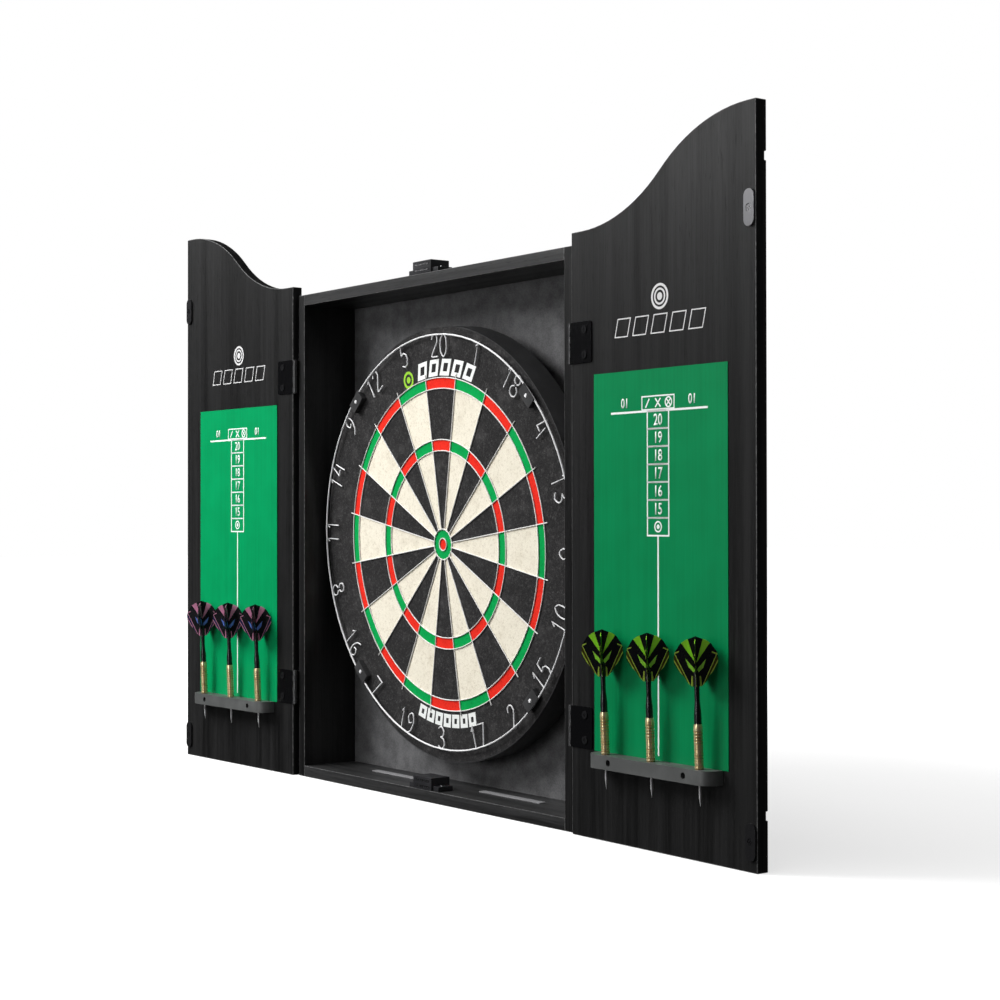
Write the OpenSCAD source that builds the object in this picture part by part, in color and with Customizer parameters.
// Wall-hung dart board cabinet: an open case with a leaning bristle board, two hinged ogee-topped doors
// with score panels and dart holders, and six darts.
// Frame: origin at the centre of the wall-screw pattern on the back face, +X right, +Y into the wall, +Z up.

/* [Case] */
// Outer width of the case
case_w = 494; // [488:1:500]
// Outer height of the case
case_h = 542; // [536:1:548]
// Depth of the case from wall to front edge
case_d = 73; // [72:1:76]
// Thickness of the side, top and bottom boards
board_wood_t = 12; // [11:0.5:13]
// Thickness of the back panel
back_t = 6; // [5:0.5:6]
// Distance between wall screws, across and up
wall_screw_pitch = 280; // [260:5:290]
// Radius of a wall screw hole
wall_hole_r = 2.5; // [2:0.25:3]

/* [Doors] */
// Width of one door
door_w = 245.5; // [243:0.5:245.5]
// Thickness of a door
door_t = 12; // [11:0.5:13]
// Height of a door along its hinge edge
door_hinge_h = 552.5; // [545:0.5:560]
// Rise of the ogee from the hinge edge to the free edge
ogee_rise = 81; // [60:1:95]
// How far the left door rests short of flat, in degrees
rest_left = 1.4; // [0:0.1:2]
// How far the right door rests short of flat, in degrees
rest_right = 0.9; // [0:0.1:2]
// Inset of the decorative groove from the door's edges
groove_inset = 42.5; // [36:0.5:50]
// Width of the decorative groove
groove_w = 7.5; // [5:0.5:9]
// Depth of the decorative groove
groove_depth = 2; // [1.5:0.5:4]

/* [Hinges] */
// Radius of a hinge barrel
barrel_r = 2.4; // [2.2:0.1:2.6]
// Height of a hinge leaf
leaf_h = 38; // [34:1:42]
// Reach of a hinge leaf from the pin
leaf_w = 33.4; // [30:0.2:34]
// Thickness of a hinge leaf
leaf_t = 1.1; // [1:0.1:1.2]
// Half the distance between the two hinges of a door
hinge_z = 175.5; // [160:0.5:190]

/* [Score panels and holders] */
// Width of a score panel
score_w = 178; // [170:1:182]
// Height of a score panel
score_h = 340; // [330:1:345]
// Length of a dart holder
holder_w = 164; // [156:1:170]
// Distance that a holder stands out from the door
holder_d = 18; // [17:0.5:20]
// Height of a holder
holder_h = 12.5; // [12:0.5:14]
// Distance between darts along a holder
dart_pitch = 62.5; // [55:0.5:63]
// How far the darts lean out from the door, in degrees
dart_lean = 2.2; // [0:0.1:3]

/* [Board] */
// Radius of the board with its steel band
disc_r = 225.5; // [224:0.5:226]
// Thickness of the board
disc_t = 29; // [26:0.5:29]
// Forward lean of the board, in degrees
board_lean = 2.2; // [1:0.1:2.3]
// Clockwise turn of the board in its bracket, in degrees
board_roll = 1.7; // [0:0.1:3]
// Radius of a spider wire
wire_r = 0.6; // [0.4:0.05:0.6]
// Half the height of the number ring
ring_half_h = 215; // [212:0.5:216]
// Half the width of the number ring, which springs a little wider than it is tall
ring_half_w = 222; // [212:0.5:222]
// Radius of the number ring's wire
ring_wire_r = 0.9; // [0.8:0.05:1.3]

/* [Darts] */
// Half the width of a flight
flight_half_w = 18.5; // [15:0.5:18.5]
// Length of a flight
flight_len = 42; // [40:1:46]
// Radius of a barrel
dart_r = 3.8; // [2.8:0.1:3.8]

/* [Hidden] */
$fn = 48;

// Colours
wood_c = [0.11, 0.11, 0.115];
back_c = [0.20, 0.20, 0.21];
dark_c = [0.06, 0.06, 0.065];
metal_c = [0.78, 0.78, 0.80];
green_c = [0.0, 0.42, 0.22];

// Case
half_w = case_w / 2;
half_h = case_h / 2;
in_half_w = half_w - board_wood_t;
in_half_h = half_h - board_wood_t;
front_y = -case_d;

// Hinge line and doors. A door's inner face lies pin_to_face behind the pin when it is shut.
door_gap = 2.8;
pin_to_face = 1;
pin_y = front_y - door_gap - pin_to_face;
pin_x = half_w + barrel_r - 0.1;
edge_gap = barrel_r + 0.4;
door_x = pin_x + edge_gap;
door_y = pin_y - pin_to_face;
door_mid_x = door_x + door_w / 2;
door_low_z = -half_h;
door_hinge_z = door_low_z + door_hinge_h;
door_free_z = door_hinge_z + ogee_rise;
flat_low = 14;
flat_high = 10;
ogee_run = door_w - flat_low - flat_high;
ogee_r = (ogee_run * ogee_run + ogee_rise * ogee_rise) / (4 * ogee_rise);
ogee_angle = asin(ogee_run / 2 / ogee_r);
hinge_mid_z = 4;
hinge_heights = [hinge_mid_z - hinge_z, hinge_mid_z + hinge_z];
knuckles = 6;
knuckle_pitch = leaf_h / knuckles;
knuckle_gap = 0.35;
pin_r = 1.1;
screw_reach = 23.2;
screw_z = 11.5;
head_r = 3.6;
head_t = 0.8;

// Strike plates and magnetic catches
strike_w = 12;
strike_h = 31;
strike_t = 2;
strike_x = 2 * pin_x - 7.8;
strike_top_z = half_h + 2.5;
strike_low_z = -half_h + 25;
catch_w = 33;
catch_d = 23;
catch_h = 13;
ear_w = 10;
ear_h = 5;
pole_w = 24;
pole_t = 1.2;

// Score panels and holders
score_t = 0.6;
score_low_z = -half_h + 80;
holder_top_z = score_low_z;
dart_out = 10.3;
hole_shift = 1.5;
seat_drop = 6;
seat_r = 4;
point_hole_r = 2.3;
holder_screw_x = 50;

// Board: local y is 0 at the playing face and grows into the board
board_z = -8;
face_y = front_y + 27;
bed_t = 2;
band_t = 1;
core_r = disc_r - band_t;
bed_gap = 0.3;
bed_angle_gap = 0.12;
bull_r = 6.35;
outer_bull_r = 15.9;
treble_in_r = 97;
treble_out_r = 108.6;
double_in_r = 161.4;
double_out_r = 172.6;
ring_lift = 4;
ring_shift = [-1.8, 2];
numeral_wire_r = 0.7;
numeral_turn = 0.9;
numeral_h = 23.5;
numeral_set = 1.3;
numeral_w = 12;
numeral_pitch = 15.5;
order = [20, 1, 18, 4, 13, 6, 10, 15, 2, 17, 3, 19, 7, 16, 8, 11, 14, 9, 12, 5];

// Darts, measured up from the seat in the holder
seat_z = holder_top_z - seat_drop + 0.4;
barrel_len = 43.5;
shaft_len = 44.5;
point_len = 25.5;
flight_low = 75;
flight_t = 0.4;

module box(x0, x1, y0, y1, z0, z1) {
  translate([x0, y0, z0]) cube([x1 - x0, y1 - y0, z1 - z0]);
}

module along_y(x, y, z, r, h) {
  translate([x, y, z]) rotate([-90, 0, 0]) cylinder(r = r, h = h);
}

module round_rect(w, h, r) {
  square([w - 2 * r, h], center = true);
  square([w, h - 2 * r], center = true);
  for (x = [-1, 1], y = [-1, 1]) translate([x * (w / 2 - r), y * (h / 2 - r)]) circle(r);
}

// ---- Case ----

module side_panels() {
  color(wood_c) for (s = [-1, 1])
    box(s < 0 ? -half_w : in_half_w, s < 0 ? -in_half_w : half_w, front_y, 0, -half_h, half_h);
}

module top_panel() {
  color(wood_c) box(-in_half_w, in_half_w, front_y, 0, in_half_h, half_h);
}

module bottom_panel() {
  color(wood_c) box(-in_half_w, in_half_w, front_y, 0, -half_h, -in_half_h);
}

module back_panel() {
  color(back_c) difference() {
    box(-in_half_w, in_half_w, -back_t, 0, -in_half_h, in_half_h);
    for (x = [-1, 1], z = [-1, 1])
      along_y(x * wall_screw_pitch / 2, -back_t - 1, z * wall_screw_pitch / 2, wall_hole_r, back_t + 2);
  }
}

strip_t = 0.8;

module floor_strips() {
  color(metal_c) for (s = [-1, 1])
    box(s < 0 ? -150 : 50, s < 0 ? -50 : 150, front_y + 36, front_y + 44, -in_half_h, -in_half_h + strip_t);
}

// One catch standing on z = 0 with its pole plates facing -Y
module catch_housing() {
  difference() {
    union() {
      box(-catch_w / 2, catch_w / 2, front_y, front_y + catch_d, 0, catch_h);
      box(-catch_w / 2 - ear_w, catch_w / 2 + ear_w, front_y + 2, front_y + catch_d - 3, 0, ear_h);
    }
    for (z = pole_heights())
      box(-pole_w / 2 - 0.2, pole_w / 2 + 0.2, front_y - 1, front_y + catch_d - 4, z - 0.2, z + pole_t + 0.2);
  }
}

function pole_heights() = [catch_h * 0.25 - pole_t / 2, catch_h * 0.72 - pole_t / 2];

module each_catch() {
  translate([0, 0, half_h]) children();
  translate([0, 0, -in_half_h]) children();
}

module catch_housings() {
  color(dark_c) each_catch() catch_housing();
}

module catch_poles() {
  color(metal_c) each_catch() for (z = pole_heights())
    box(-pole_w / 2, pole_w / 2, front_y - 0.4, front_y + catch_d - 4.2, z, z + pole_t);
}

// Hinge knuckles in one leaf: parity 0 belongs to the door, 1 to the case
module leaf_knuckles(parity, solid_pin) {
  for (k = [parity : 2 : knuckles - 1])
    translate([0, 0, -leaf_h / 2 + k * knuckle_pitch + knuckle_gap / 2]) difference() {
      cylinder(r = barrel_r, h = knuckle_pitch - knuckle_gap);
      if (!solid_pin) translate([0, 0, -1]) cylinder(r = pin_r + 0.05, h = knuckle_pitch + 2);
    }
  if (solid_pin) translate([0, 0, -leaf_h / 2]) cylinder(r = pin_r, h = leaf_h);
}

// A leaf in the x-z plane whose plate lies between y = -near - leaf_t and y = -near, reaching along +X
module leaf(parity, near, solid_pin) {
  start = barrel_r + 0.35;
  difference() {
    union() {
      translate([(start + leaf_w) / 2, -near, 0]) rotate([90, 0, 0]) linear_extrude(leaf_t)
        round_rect(leaf_w - start, leaf_h, 2.5);
      for (k = [parity : 2 : knuckles - 1])
        translate([0, -near - leaf_t, -leaf_h / 2 + k * knuckle_pitch + knuckle_gap / 2])
          cube([start + 3, leaf_t, knuckle_pitch - knuckle_gap]);
    }
    translate([0, 0, -leaf_h / 2 - 1]) cylinder(r = pin_r + 0.05, h = leaf_h + 2);
    for (z = [-screw_z, screw_z]) along_y(screw_reach, -near - leaf_t - 1, z, 2.1, leaf_t + 2);
  }
  leaf_knuckles(parity, solid_pin);
}

// Turned to lie on the outside of the case wall, reaching along +Y
module case_leaf() {
  translate([pin_x, pin_y, 0]) mirror([1, -1, 0]) leaf(1, pin_x - half_w - leaf_t, true);
}

module case_leaves() {
  color(dark_c) for (s = [0, 1], z = hinge_heights)
    mirror([s, 0, 0]) translate([0, 0, z]) case_leaf();
}

bracket_w = 60;
bracket_plate_t = 1.5;
bracket_screw_z = 36;
slot_y = -14;
slot_t = 2;

module board_bracket() {
  color(metal_c) difference() {
    union() {
      box(-bracket_w / 2, bracket_w / 2, -back_t - bracket_plate_t, -back_t, board_z - 42, board_z + 42);
      for (s = [-1, 1])
        box(s < 0 ? -30 : 28, s < 0 ? -28 : 30, slot_y, -back_t, board_z - 30, board_z + 20);
      box(-bracket_w / 2, bracket_w / 2, slot_y, slot_y + slot_t, board_z - 30, board_z + 20);
    }
    along_y(0, slot_y - 1, board_z, 3.6, slot_t + 2);
    box(-3.4, 3.4, slot_y - 1, slot_y + slot_t + 1, board_z, board_z + 21);
    for (x = [-20, 20], z = [-bracket_screw_z, bracket_screw_z])
      along_y(x, -back_t - 3, board_z + z, 2, 4);
  }
}

// Pan-head screw heads that hold the leaves, the catches and the bracket to the case
module case_screws() {
  leaf_out = half_w + leaf_t;
  color(metal_c) {
    for (s = [0, 1], z = hinge_heights, k = [-screw_z, screw_z]) mirror([s, 0, 0])
      translate([leaf_out, pin_y + screw_reach, z + k]) rotate([0, 90, 0]) screw_head();
    each_catch() for (s = [-1, 1])
      translate([s * (catch_w / 2 + ear_w / 2), front_y + 11, ear_h]) screw_head();
    for (x = [-20, 20], z = [-bracket_screw_z, bracket_screw_z])
      translate([x, -back_t - bracket_plate_t, board_z + z]) rotate([90, 0, 0]) scale(0.8) screw_head();
  }
}

// A head on z = 0 with a cross slot
module screw_head() {
  difference() {
    cylinder(r = head_r, h = head_t);
    for (a = [0, 90]) rotate([0, 0, a]) translate([-2, -0.4, head_t - 0.5]) cube([4, 0.8, 1]);
  }
}

// ---- Doors, drawn for the right side and mirrored for the left ----

// Door outline inset by d. x runs from the hinge edge, y is height. The shape ends at x = w on the free side.
function door_outline(d, w) =
  let (first = d > flat_low ? asin((d - flat_low) / (ogee_r + d)) : 0)
  concat(
    [[w, door_low_z + d], [d, door_low_z + d]],
    d < flat_low ? [[d, door_hinge_z - d]] : [],
    [for (k = [0 : 12]) let (a = first + (ogee_angle - first) * k / 12)
      [flat_low + (ogee_r + d) * sin(a), door_hinge_z + ogee_r - (ogee_r + d) * cos(a)]],
    [for (k = [11 : -1 : 0]) let (a = ogee_angle * k / 12)
      [door_w - flat_high - (ogee_r - d) * sin(a), door_free_z - ogee_r + (ogee_r - d) * cos(a)]],
    [[w, door_free_z - d]]);

// Extrudes a door-plane shape from height y = near, back by t
module door_plate(near, t) {
  translate([door_x, near + t, 0]) rotate([90, 0, 0]) linear_extrude(t) children();
}

module door() {
  difference() {
    door_plate(door_y, door_t) polygon(door_outline(0, door_w));
    door_plate(door_y + door_t - groove_depth, groove_depth + 1) difference() {
      polygon(door_outline(groove_inset, door_w + 1));
      polygon(door_outline(groove_inset + groove_w, door_w + 2));
    }
  }
}

module score_panel() {
  box(door_mid_x - score_w / 2, door_mid_x + score_w / 2, door_y - score_t, door_y,
    score_low_z, score_low_z + score_h);
}

module dart_holder(s) {
  hole_x = door_mid_x + s * hole_shift;
  r = 14;
  difference() {
    translate([door_mid_x, door_y, holder_top_z - holder_h]) mirror([0, 1, 0]) linear_extrude(holder_h) {
      translate([-holder_w / 2, 0]) square([holder_w, holder_d - r]);
      translate([-holder_w / 2 + r, 0]) square([holder_w - 2 * r, holder_d]);
      for (s = [-1, 1]) intersection() {
        translate([s * (holder_w / 2 - r), holder_d - r]) circle(r);
        translate([-holder_w / 2, 0]) square([holder_w, holder_d]);
      }
    }
    for (k = [-1 : 1]) translate([hole_x + k * dart_pitch, door_y - dart_out, holder_top_z]) {
      translate([0, 0, -seat_drop]) cylinder(r = seat_r, h = seat_drop + 1);
      translate([0, 0, -holder_h - 1]) cylinder(r = point_hole_r, h = holder_h + 1);
    }
    for (k = [-1, 1]) {
      along_y(hole_x + k * holder_screw_x, door_y - holder_d - 1, holder_mid_z, 2.9, holder_d - 5);
      along_y(hole_x + k * holder_screw_x, door_y - holder_d, holder_mid_z, 2, holder_d + 1);
    }
  }
}

holder_mid_z = holder_top_z - holder_h / 2;

module strikes() {
  for (z = [strike_top_z, strike_low_z]) translate([strike_x, door_y, z]) rotate([90, 0, 0]) difference() {
    linear_extrude(strike_t) round_rect(strike_w, strike_h, strike_w / 2 - 0.1);
    translate([0, 0, -1]) cylinder(r = 1.8, h = strike_t + 2);
    translate([0, 0, 0.9]) cylinder(r = 3.3, h = strike_t);
  }
}

module door_leaves() {
  for (z = hinge_heights) translate([pin_x, pin_y, z]) leaf(0, pin_to_face, false);
}

// Heads of the leaf, strike and holder screws
module door_screws(s) {
  leaf_y = door_y - leaf_t;
  for (z = hinge_heights, k = [-screw_z, screw_z])
    translate([pin_x + screw_reach, leaf_y, z + k]) rotate([90, 0, 0]) screw_head();
  for (z = [strike_top_z, strike_low_z])
    translate([strike_x, door_y - 0.9, z]) rotate([90, 0, 0]) scale(0.86) screw_head();
  for (k = [-1, 1]) translate([door_mid_x + s * hole_shift + k * holder_screw_x, 0, 0]) {
    along_y(0, door_y - 8.5, holder_mid_z, 2.7, 2.5);
    along_y(0, door_y - 6, holder_mid_z, 1.9, 6);
  }
}

// Sets a door's parts on its side of the case, at the angle it rests at about its pin
module side(s) {
  mirror([s < 0 ? 1 : 0, 0, 0]) translate([pin_x, pin_y, 0])
    rotate([0, 0, -(s < 0 ? rest_left : rest_right)]) translate([-pin_x, -pin_y, 0]) children();
}

// ---- Board ----

module on_board() {
  translate([0, face_y, board_z]) rotate([board_lean, 0, 0]) rotate([0, board_roll, 0]) children();
}

// A ring of rectangular section from radius r0 to r1, reaching depth t behind the face, over part of a turn
module bed(r0, r1, from, sweep) {
  rotate([-90, 0, 0]) rotate([0, 0, from]) rotate_extrude(angle = sweep) translate([r0, 0])
    square([r1 - r0, bed_t]);
}

// Wedge number k, counted clockwise from the top
module wedge(k, r0, r1) {
  bed(r0 + bed_gap, r1 - bed_gap, -99 + 18 * k + bed_angle_gap, 18 - 2 * bed_angle_gap);
}

module single_beds(parity) {
  for (k = [parity : 2 : 19]) {
    wedge(k, outer_bull_r, treble_in_r);
    wedge(k, treble_out_r, double_in_r);
  }
}

module score_beds(parity) {
  for (k = [parity : 2 : 19]) {
    wedge(k, treble_in_r, treble_out_r);
    wedge(k, double_in_r, double_out_r);
  }
}

module board_core() {
  color(dark_c) on_board() along_y(0, bed_t, 0, core_r, disc_t - bed_t);
}

module board_band() {
  color([0.09, 0.09, 0.09]) on_board() rotate([-90, 0, 0]) difference() {
    cylinder(r = disc_r, h = disc_t);
    translate([0, 0, -1]) cylinder(r = core_r, h = disc_t + 2);
  }
}

module sisal_surround() {
  color([0.10, 0.10, 0.10]) on_board() bed(double_out_r + bed_gap, core_r, 0, 360);
}

module beds_black() {
  color([0.08, 0.08, 0.08]) on_board() single_beds(0);
}

module beds_cream() {
  color([0.93, 0.89, 0.78]) on_board() single_beds(1);
}

module beds_red() {
  color([0.80, 0.10, 0.08]) on_board() {
    score_beds(0);
    along_y(0, 0, 0, bull_r - bed_gap, bed_t);
  }
}

module beds_green() {
  color([0.0, 0.45, 0.18]) on_board() {
    score_beds(1);
    bed(bull_r + bed_gap, outer_bull_r - bed_gap, 0, 360);
  }
}

module wire_ring(r, w, lift) {
  rotate([90, 0, 0]) translate([0, 0, lift]) rotate_extrude() translate([r, 0]) circle(w);
}

module spider_rings() {
  color(metal_c) on_board()
    for (r = [bull_r, outer_bull_r, treble_in_r, treble_out_r, double_in_r, double_out_r])
      wire_ring(r, wire_r, wire_r);
}

module spider_radials() {
  color(metal_c) on_board() for (k = [0 : 19]) rotate([0, 9 + 18 * k, 0])
    translate([0, -wire_r, outer_bull_r - 1]) cylinder(r = wire_r, h = double_out_r + 6.5 - outer_bull_r);
}

// A point of the number ring at an angle clockwise from the top
function ring_point(a) = [ring_shift[0] + ring_half_w * sin(a), 0, ring_shift[1] + ring_half_h * cos(a)];

// Puts a shape on the number ring, with +Z pointing outwards
module on_ring(a) {
  translate(ring_point(a)) rotate([0, a, 0]) children();
}

module number_ring() {
  color([0.9, 0.9, 0.9]) on_board() translate([0, -ring_lift, 0]) rotate([90, 0, 0])
    closed_wire([for (k = [0 : 89]) let (q = ring_point(-4 * k)) [q[0], q[2]]], ring_wire_r);
}

// Bent-wire numerals. Each stroke is a list of points in a unit box, smoothed unless it is straight-sided.
function strokes(n) =
  n == 0 ? [[true, [[0.52, 1], [0.12, 0.8], [0.03, 0.5], [0.12, 0.2], [0.5, 0], [0.88, 0.2], [0.97, 0.5],
    [0.88, 0.8], [0.62, 0.97]]]] :
  n == 1 ? [[false, [[0.3, 0.8], [0.55, 1], [0.55, 0]]]] :
  n == 2 ? [[true, [[0.05, 0.75], [0.25, 0.97], [0.7, 0.95], [0.85, 0.68], [0.45, 0.35], [0.05, 0.02],
    [0.5, 0], [0.97, 0.02]]]] :
  n == 3 ? [[true, [[0.08, 0.9], [0.5, 1], [0.88, 0.8], [0.7, 0.58], [0.4, 0.53], [0.8, 0.45], [0.95, 0.22],
    [0.5, 0], [0.05, 0.12]]]] :
  n == 4 ? [[false, [[0.45, 1], [0.05, 0.35], [0.62, 0.35]]], [false, [[0.85, 0.75], [0.85, 0]]]] :
  n == 5 ? [[false, [[0.9, 1], [0.2, 1], [0.12, 0.58], [0.5, 0.64], [0.85, 0.52], [0.95, 0.3], [0.8, 0.08],
    [0.45, 0], [0.05, 0.1]]]] :
  n == 6 ? [[true, [[0.75, 1], [0.3, 0.8], [0.06, 0.4], [0.2, 0.08], [0.55, 0], [0.92, 0.22], [0.7, 0.5],
    [0.36, 0.42]]]] :
  n == 7 ? [[false, [[0.05, 1], [0.95, 1], [0.35, 0]]]] :
  n == 8 ? [[true, [[0.44, 0.6], [0.15, 0.68], [0.15, 0.9], [0.5, 1], [0.85, 0.9], [0.85, 0.68], [0.62, 0.6]]],
    [true, [[0.4, 0.48], [0.08, 0.36], [0.08, 0.12], [0.5, 0], [0.92, 0.12], [0.92, 0.36], [0.62, 0.48]]]] :
  [[true, [[0.25, 0], [0.7, 0.2], [0.94, 0.6], [0.8, 0.92], [0.45, 1], [0.08, 0.78], [0.3, 0.5],
    [0.64, 0.58]]]];

// Catmull-Rom curve through a list of points, with one extra point in each span
function mid_point(a, b, c, d) = (-a + 9 * b + 9 * c - d) / 16;
function smooth(p) = let (n = len(p)) [for (k = [0 : 2 * n - 2])
  k % 2 == 0 ? p[k / 2] :
  let (i = floor(k / 2)) mid_point(p[max(0, i - 1)], p[i], p[i + 1], p[min(n - 1, i + 2)])];

function unit(v) = v / norm(v);

// A round wire along points in the x-y plane
module bent_wire(p, r) {
  sides = 6;
  n = len(p);
  dirs = [for (i = [0 : n - 1]) i == 0 ? unit(p[1] - p[0]) : i == n - 1 ? unit(p[i] - p[i - 1]) :
    unit(unit(p[i] - p[i - 1]) + unit(p[i + 1] - p[i]))];
  turn = [for (i = [0 : n - 1]) i == 0 || i == n - 1 ? 1 : max(0.6, dirs[i] * unit(p[i + 1] - p[i]))];
  points = [for (i = [0 : n - 1], s = [0 : sides - 1]) let (a = 360 * s / sides, side = r * cos(a) / turn[i])
    [p[i][0] - dirs[i][1] * side, p[i][1] + dirs[i][0] * side, r * sin(a)]];
  walls = [for (i = [0 : n - 2], s = [0 : sides - 1]) let (t = (s + 1) % sides)
    [i * sides + s, i * sides + t, (i + 1) * sides + t, (i + 1) * sides + s]];
  low_cap = [[for (s = [sides - 1 : -1 : 0]) s]];
  high_cap = [[for (s = [0 : sides - 1]) (n - 1) * sides + s]];
  polyhedron(points, concat(walls, low_cap, high_cap));
}

// A round wire along a closed loop of points in the x-y plane
module closed_wire(p, r) {
  sides = 8;
  n = len(p);
  points = [for (i = [0 : n - 1], s = [0 : sides - 1])
    let (d = unit(p[(i + 1) % n] - p[(i + n - 1) % n]), a = 360 * s / sides)
    [p[i][0] - d[1] * r * cos(a), p[i][1] + d[0] * r * cos(a), r * sin(a)]];
  polyhedron(points, [for (i = [0 : n - 1], s = [0 : sides - 1]) let (t = (s + 1) % sides, j = (i + 1) % n)
    [i * sides + s, i * sides + t, j * sides + t, j * sides + s]]);
}

module digit(n) {
  for (s = strokes(n)) {
    p = [for (q = s[1]) [(q[0] - 0.5) * numeral_w, (q[1] - 0.5) * numeral_h]];
    bent_wire(s[0] ? smooth(p) : p, numeral_wire_r);
  }
}

module numerals() {
  color([0.9, 0.9, 0.9]) on_board() for (k = [0 : 19]) {
    value = order[k];
    low = k > 5 && k < 15;
    on_ring(18 * k + numeral_turn) translate([0, numeral_set - ring_lift, 0.4 - numeral_h / 2])
      rotate([90, 0, 0]) rotate([0, 0, low ? 180 : 0])
        if (value > 9) {
          translate([-numeral_pitch / 2, 0, 0]) digit(floor(value / 10));
          translate([numeral_pitch / 2, 0, 0]) digit(value % 10);
        } else digit(value);
  }
}

clip_t = 1;
clip_h = ring_lift + ring_wire_r + 0.15 + clip_t;
clip_in = -ring_wire_r - 0.8;
clip_half_w = 11.5;

module each_clip() {
  on_board() for (k = [0 : 3]) on_ring(45 + 90 * k) children();
}

module ring_clips() {
  color(dark_c) each_clip() {
    box(-clip_half_w, clip_half_w, -clip_h, 0, -11.5, clip_in);
    box(-clip_half_w, clip_half_w, -clip_h, -clip_h + clip_t, clip_in - 0.1, 1.5);
  }
}

module clip_nails() {
  color([0.85, 0.85, 0.8]) each_clip() translate([0, -clip_h, -5.2]) rotate([90, 0, 0])
    cylinder(r1 = 2.2, r2 = 1.5, h = 0.8);
}

module board_hub() {
  color(metal_c) on_board() {
    along_y(0, disc_t, 0, 20, 1.5);
    along_y(0, disc_t + 1.5, 0, 3, 5);
    along_y(0, disc_t + 6, 0, 7, 2.4);
  }
}

// ---- Darts, each drawn upright on its seat and then leaned out from the door ----

module at_dart(s, k) {
  side(s) translate([door_mid_x + s * hole_shift + s * (k - 2) * dart_pitch, door_y - dart_out, seat_z])
    rotate([dart_lean, 0, 0]) children();
}

module dart_point() {
  color([0.75, 0.75, 0.77]) rotate_extrude()
    polygon([[0, 0], [1.1, 0], [1.1, 7 - point_len], [0.15, -point_len], [0, -point_len]]);
}

module dart_barrel() {
  grooves = [10, 12.5, 15, 20, 22.5, 25, 30, 32.5, 35];
  color([0.85, 0.66, 0.30]) rotate_extrude() polygon(concat(
    [[0, 0], [2, 0], [dart_r, 6.5]],
    [for (z = grooves, q = [[0, -0.6], [0.3, -0.4], [0.3, 0.4], [0, 0.6]]) [dart_r - q[0], z + q[1]]],
    [[dart_r, barrel_len - 3], [dart_r - 0.5, barrel_len], [0, barrel_len]]));
}

module dart_shaft() {
  color(dark_c) difference() {
    translate([0, 0, barrel_len]) rotate_extrude()
      polygon([[0, 0], [3.1, 0], [3.1, 9], [2.2, 19], [2.3, 30], [2.3, 42], [1.5, shaft_len], [0, shaft_len]]);
    for (a = [45, 135]) rotate([0, 0, a])
      translate([-4, -flight_t / 2 - 0.1, flight_low - 0.2]) cube([8, flight_t + 0.2, 40]);
  }
}

// Half-widths of a flight at heights, as shares of its size
flight_shape = [[0.23, 0], [0.43, 0.09], [0.56, 0.2], [0.79, 0.31], [0.98, 0.45], [1, 0.59], [0.94, 0.69],
  [0.71, 0.85], [0.48, 0.92], [0, 1]];

module dart_flight(s) {
  half = [for (q = flight_shape) [q[0] * flight_half_w, q[1] * flight_len]];
  whole = concat(half, [for (k = [len(half) - 2 : -1 : 0]) [-half[k][0], half[k][1]]]);
  color(s > 0 ? [0.45, 0.75, 0.20] : [0.45, 0.25, 0.45]) for (a = [45, 135]) rotate([0, 0, a])
    translate([0, flight_t / 2, flight_low]) rotate([90, 0, 0]) linear_extrude(flight_t) polygon(whole);
}

side_panels();
top_panel();
bottom_panel();
back_panel();
floor_strips();
catch_housings();
catch_poles();
case_leaves();
board_bracket();
case_screws();
color(wood_c) side(-1) door();  // door_left
color(green_c) side(-1) score_panel();  // score_panel_left
color([0.16, 0.16, 0.17]) side(-1) dart_holder(-1);  // dart_holder_left
color(dark_c) side(-1) strikes();  // strikes_left
color(dark_c) side(-1) door_leaves();  // door_leaves_left
color(metal_c) side(-1) door_screws(-1);  // screws_left
color(wood_c) side(1) door();  // door_right
color(green_c) side(1) score_panel();  // score_panel_right
color([0.16, 0.16, 0.17]) side(1) dart_holder(1);  // dart_holder_right
color(dark_c) side(1) strikes();  // strikes_right
color(dark_c) side(1) door_leaves();  // door_leaves_right
color(metal_c) side(1) door_screws(1);  // screws_right
board_core();
board_band();
sisal_surround();
beds_black();
beds_cream();
beds_red();
beds_green();
spider_rings();
spider_radials();
number_ring();
numerals();
ring_clips();
clip_nails();
board_hub();
at_dart(-1, 1) dart_point();  // point_left_1
at_dart(-1, 1) dart_barrel();  // barrel_left_1
at_dart(-1, 1) dart_shaft();  // shaft_left_1
at_dart(-1, 1) dart_flight(-1);  // flight_left_1
at_dart(-1, 2) dart_point();  // point_left_2
at_dart(-1, 2) dart_barrel();  // barrel_left_2
at_dart(-1, 2) dart_shaft();  // shaft_left_2
at_dart(-1, 2) dart_flight(-1);  // flight_left_2
at_dart(-1, 3) dart_point();  // point_left_3
at_dart(-1, 3) dart_barrel();  // barrel_left_3
at_dart(-1, 3) dart_shaft();  // shaft_left_3
at_dart(-1, 3) dart_flight(-1);  // flight_left_3
at_dart(1, 1) dart_point();  // point_right_1
at_dart(1, 1) dart_barrel();  // barrel_right_1
at_dart(1, 1) dart_shaft();  // shaft_right_1
at_dart(1, 1) dart_flight(1);  // flight_right_1
at_dart(1, 2) dart_point();  // point_right_2
at_dart(1, 2) dart_barrel();  // barrel_right_2
at_dart(1, 2) dart_shaft();  // shaft_right_2
at_dart(1, 2) dart_flight(1);  // flight_right_2
at_dart(1, 3) dart_point();  // point_right_3
at_dart(1, 3) dart_barrel();  // barrel_right_3
at_dart(1, 3) dart_shaft();  // shaft_right_3
at_dart(1, 3) dart_flight(1);  // flight_right_3
